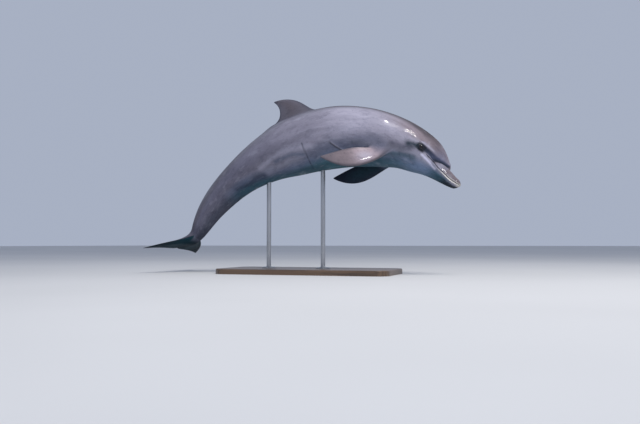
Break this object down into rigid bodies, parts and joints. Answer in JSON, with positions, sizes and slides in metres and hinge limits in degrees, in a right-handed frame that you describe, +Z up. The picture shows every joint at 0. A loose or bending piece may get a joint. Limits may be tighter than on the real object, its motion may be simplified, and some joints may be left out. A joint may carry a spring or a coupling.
{
  "type": "bottlenose dolphin model",
  "caption": "Life-size bottlenose dolphin arched in a leap, its head down and flukes trailing, held over a flat base by plain upright rods.",
  "frame": {"origin": "middle of the underside of the stand's base, on the floor", "axes": "+Z up, +X the way the dolphin faces, +Y towards its left side"},
  "size_m": [2.1847, 0.7466, 1.2645],
  "materials": {
    "skin": "smooth wet hide, grey with a paler flank and a dark back",
    "eye": "polished, dark brown",
    "stand_board": "dark stained board, satin",
    "stand_steel": "brushed"
  },
  "bodies": {
    "root": {"beak_upper": "skin", "lower_jaw": "skin", "melon": "skin", "head": "skin", "trunk_front": "skin", "trunk_middle": "skin", "trunk_rear": "skin", "tail_stock": "skin", "fluke_right": "skin", "fluke_left": "skin", "dorsal_fin": "skin", "flipper_right": "skin", "flipper_left": "skin", "eye_right": "eye", "eye_left": "eye", "stand_base": "stand_board", "stand_rod_front": "stand_steel", "stand_rod_rear": "stand_steel"}
  },
  "joints": []
}
